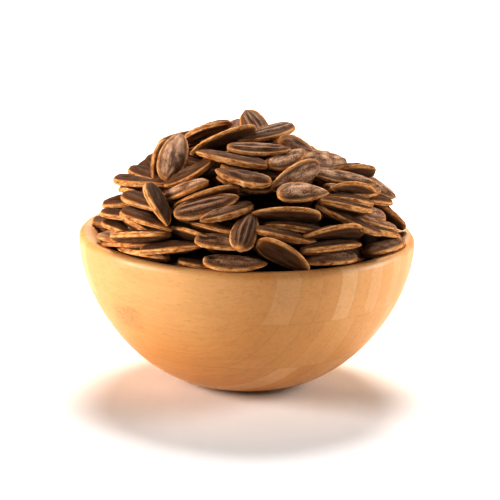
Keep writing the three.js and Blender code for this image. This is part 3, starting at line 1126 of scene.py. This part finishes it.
def make_core():
    """The heap's inside, out of sight under the seeds, with an uneven top."""
    rng = np.random.default_rng(RANDOM_SEED + 2)
    rim_height = BOWL_HEIGHT - CORE_DEPTH
    edge_radius = float(inner_radius(rim_height)) - CORE_GAP
    share = np.linspace(1, 0, CORE_STEPS)
    top_height = rim_height + (DOME_RISE - 1.0) * (1 - share ** DOME_SPREAD) ** DOME_FULLNESS
    low = INNER_WALL[INNER_WALL[:, 1] < rim_height - 0.5][::12]
    below = np.column_stack([np.maximum(low[:, 0] - CORE_GAP, 0), low[:, 1] + 0.5])
    profile = np.vstack([below, np.column_stack([edge_radius * share, top_height])])
    vertices, faces = lathe(profile, CORE_TURN_STEPS)
    x, y, z = vertices.T
    lumps = ripple(rng, x, 3, 0.7) * ripple(rng, y, 3, 0.7) * LUMP_HEIGHT
    raised = np.clip((z - rim_height) / LUMP_FADE, 0, 1)
    vertices[:, 2] += lumps * raised * (np.hypot(x, y) < edge_radius)
    core = add_mesh("heap_core", vertices, faces, painted_shade_core_material())
    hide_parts("seed_heap")
    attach(core, "root")


# ---- studio

# Sizes in metres, powers in watts.
FLOOR_HALF = 3.0
WALL_RADIUS = 2.2
WALL_HEIGHT = 1.5
WALL_SIDES = 96
FLOOR_COLOUR = (0.92, 0.92, 0.92, 1)
LIGHT_DISTANCE = 2.4
LIGHT_SIZE = 1.3
LIT_POINT = Vector((0, 0, 0.06))
# Direction round the object (0 at the camera, 90 to its right), degrees above level, power, colour.
LIGHTS = {
    "key_left": (-77, 17, 85.0, (1.0, 0.965, 0.965)),
    "fill_right": (101, 17, 57.0, (0.96, 0.975, 1.0)),
    "back": (180, 52, 80.0, (1.0, 0.99, 0.975)),
}
WORLD_COLOUR = (1.0, 0.95, 0.88, 1)
WORLD_STRENGTH = 0.025
VIEW_GAMMA = 0.70


def make_floor():
    """A plain pale floor."""
    material = new_material("pale_floor", Roughness=0.9, Base_Color=FLOOR_COLOUR)[0]
    corner = FLOOR_HALF / METRES
    corners = [(-corner, -corner, 0), (corner, -corner, 0), (corner, corner, 0), (-corner, corner, 0)]
    floor = add_mesh("floor", corners, [(0, 1, 2, 3)], material)


def make_backdrop():
    """A pale wall far round the object, which is seen behind it but neither lights nor shades it."""
    material = new_material("pale_wall", Base_Color=FLOOR_COLOUR, Emission_Color=FLOOR_COLOUR,
                            Emission_Strength=1.0)[0]
    radius, height = WALL_RADIUS / METRES, WALL_HEIGHT / METRES
    turn = np.linspace(0, 2 * math.pi, WALL_SIDES, endpoint=False)
    vertices = [(radius * math.cos(a), radius * math.sin(a), z) for z in (0, height) for a in turn]
    faces = [(k, WALL_SIDES + k, WALL_SIDES + (k + 1) % WALL_SIDES, (k + 1) % WALL_SIDES)
             for k in range(WALL_SIDES)]
    wall = add_mesh("backdrop", vertices, faces, material)
    wall.visible_diffuse = False
    wall.visible_glossy = False
    wall.visible_shadow = False


def add_light(name, azimuth, elevation, power, colour):
    """A round soft box aimed at the object."""
    data = bpy.data.lights.new(name, "AREA")
    data.shape = "DISK"
    data.size = LIGHT_SIZE
    data.energy = power
    data.color = colour
    light = bpy.data.objects.new(name, data)
    a, e = math.radians(azimuth), math.radians(elevation)
    offset = Vector((math.sin(a) * math.cos(e), -math.cos(a) * math.cos(e), math.sin(e)))
    light.location = LIT_POINT + offset * LIGHT_DISTANCE
    light.rotation_mode = "QUATERNION"
    light.rotation_quaternion = (-offset).to_track_quat("-Z", "Y")
    bpy.context.scene.collection.objects.link(light)


def make_lights():
    """Soft studio light: a key from the left, a weaker one from the right and one from behind and above."""
    for name, facts in LIGHTS.items():
        add_light(name, *facts)
    world = bpy.data.worlds.new("studio")
    bpy.context.scene.world = world
    world.use_nodes = True
    background = world.node_tree.nodes["Background"]
    background.inputs["Color"].default_value = WORLD_COLOUR
    background.inputs["Strength"].default_value = WORLD_STRENGTH


def make_camera():
    """The photograph's view: low, from the front, with a slight roll."""
    data = bpy.data.cameras.new("camera")
    data.sensor_width = SENSOR_MM
    data.lens = PIXELS_PER_MM * VIEW_DISTANCE * SENSOR_MM / FRAME_PIXELS
    camera = bpy.data.objects.new("camera", data)
    off_right = (FRAME_PIXELS / 2 - TARGET_PIXEL[0]) / PIXELS_PER_MM
    off_up = (TARGET_PIXEL[1] - FRAME_PIXELS / 2) / PIXELS_PER_MM
    aim = TARGET + VIEW_RIGHT * off_right + VIEW_UP * off_up
    eye = aim - AHEAD * VIEW_DISTANCE
    axes = Matrix((VIEW_RIGHT, VIEW_UP, -AHEAD)).transposed()
    camera.matrix_world = Matrix.Translation(Vector(eye * METRES)) @ axes.to_4x4()
    bpy.context.scene.collection.objects.link(camera)
    bpy.context.scene.camera = camera


def main():
    """The studio, the bowl, the seeds and the core."""
    make_camera()
    make_floor()
    make_backdrop()
    make_lights()
    view = bpy.context.scene.view_settings
    view.view_transform = "Standard"
    view.gamma = VIEW_GAMMA
    make_bowl()
    seeds = settle(lay_out(np.random.default_rng(RANDOM_SEED)))
    make_seeds(seeds)
    make_core()


main()
